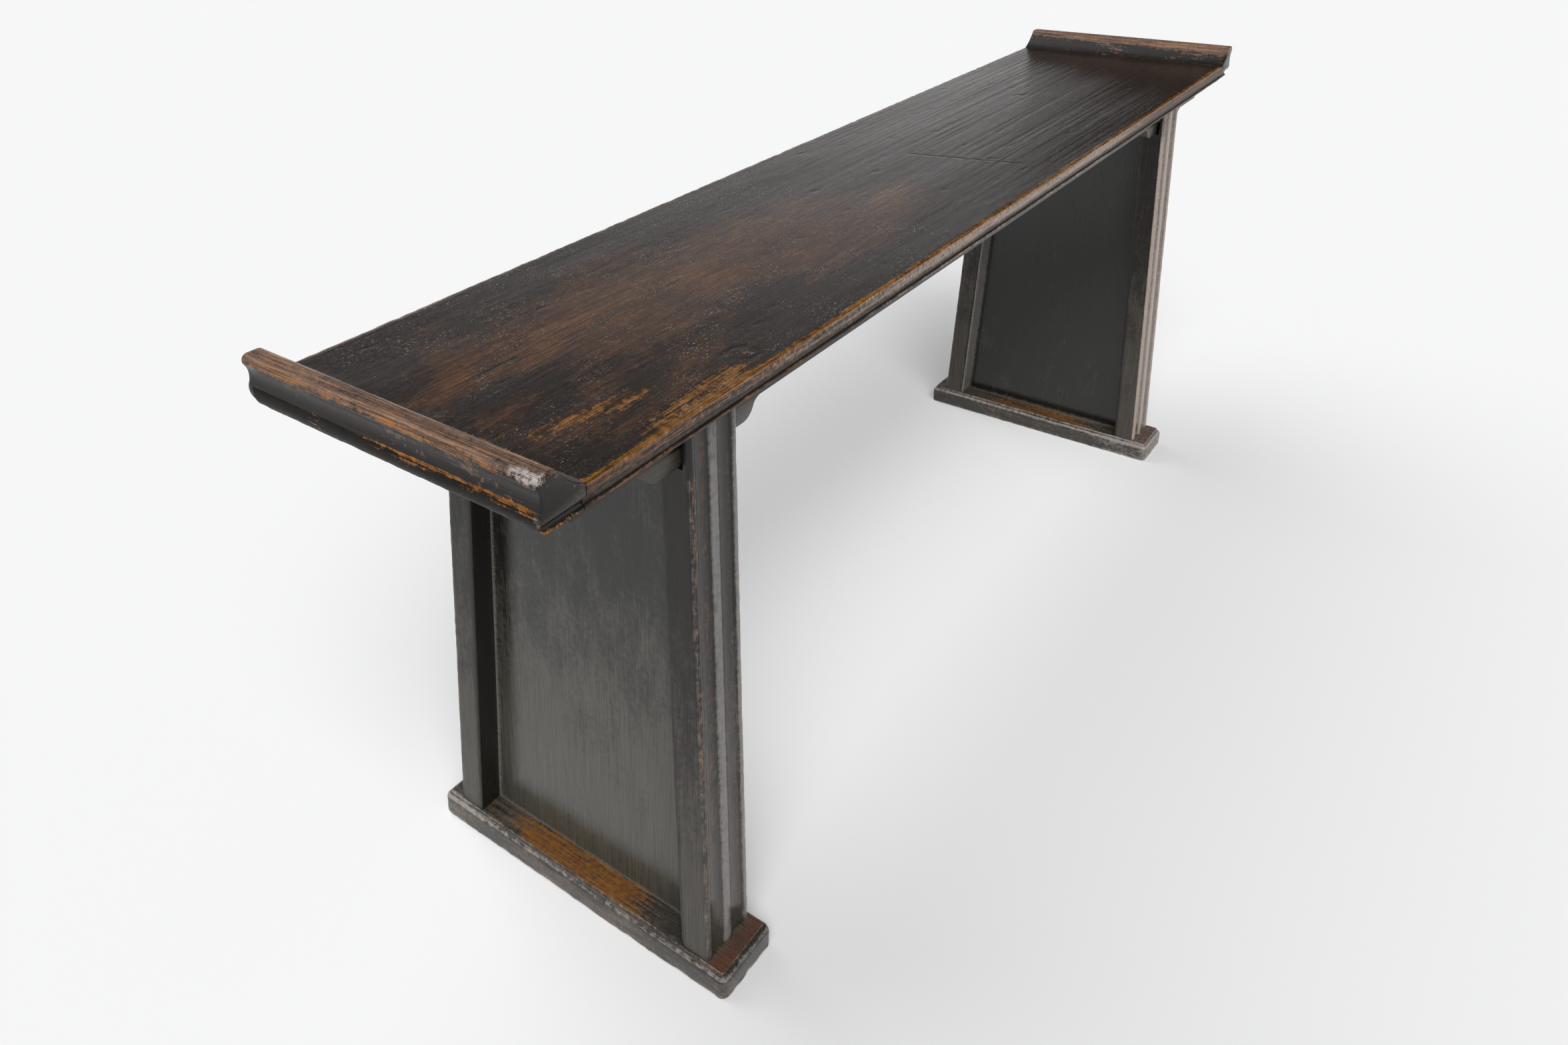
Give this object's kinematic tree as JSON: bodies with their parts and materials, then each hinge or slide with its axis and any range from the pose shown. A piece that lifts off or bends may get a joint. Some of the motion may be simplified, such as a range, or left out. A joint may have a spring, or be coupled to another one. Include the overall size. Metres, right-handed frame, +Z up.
{
  "type": "painting table",
  "caption": "Long narrow recessed-leg wooden table with everted end flanges, moulded splayed legs, solid trestle panels and shoe feet, in worn dark lacquer.",
  "frame": {"origin": "on the floor under the middle of the table", "axes": "+X along the table to its right end, +Y from the front to the back, +Z up"},
  "size_m": [2.37, 0.52, 0.896],
  "materials": {
    "top_lacquer": "brown-black lacquer over elm, worn to honey-brown wood along arrises and in patches",
    "trestle_lacquer": "smooth greenish-black lacquer over elm, dusty grey and rubbed on its edges",
    "bare_wood": "bare aged elm, unfinished"
  },
  "bodies": {
    "root": {"top_plank": "top_lacquer", "front_apron": "trestle_lacquer", "back_apron": "trestle_lacquer", "end_batten_left": "top_lacquer", "end_batten_pegs_left": "bare_wood", "end_apron_left": "trestle_lacquer", "leg_front_left": "trestle_lacquer", "spandrel_front_left": "trestle_lacquer", "leg_back_left": "trestle_lacquer", "spandrel_back_left": "trestle_lacquer", "side_panel_left": "trestle_lacquer", "trestle_rail_left": "trestle_lacquer", "foot_left": "trestle_lacquer", "foot_wedges_left": "bare_wood", "cross_batten_left": "bare_wood", "end_batten_right": "top_lacquer", "end_batten_pegs_right": "bare_wood", "end_apron_right": "trestle_lacquer", "leg_front_right": "trestle_lacquer", "spandrel_front_right": "trestle_lacquer", "leg_back_right": "trestle_lacquer", "spandrel_back_right": "trestle_lacquer", "side_panel_right": "trestle_lacquer", "trestle_rail_right": "trestle_lacquer", "foot_right": "trestle_lacquer", "foot_wedges_right": "bare_wood", "cross_batten_right": "bare_wood"}
  },
  "joints": []
}
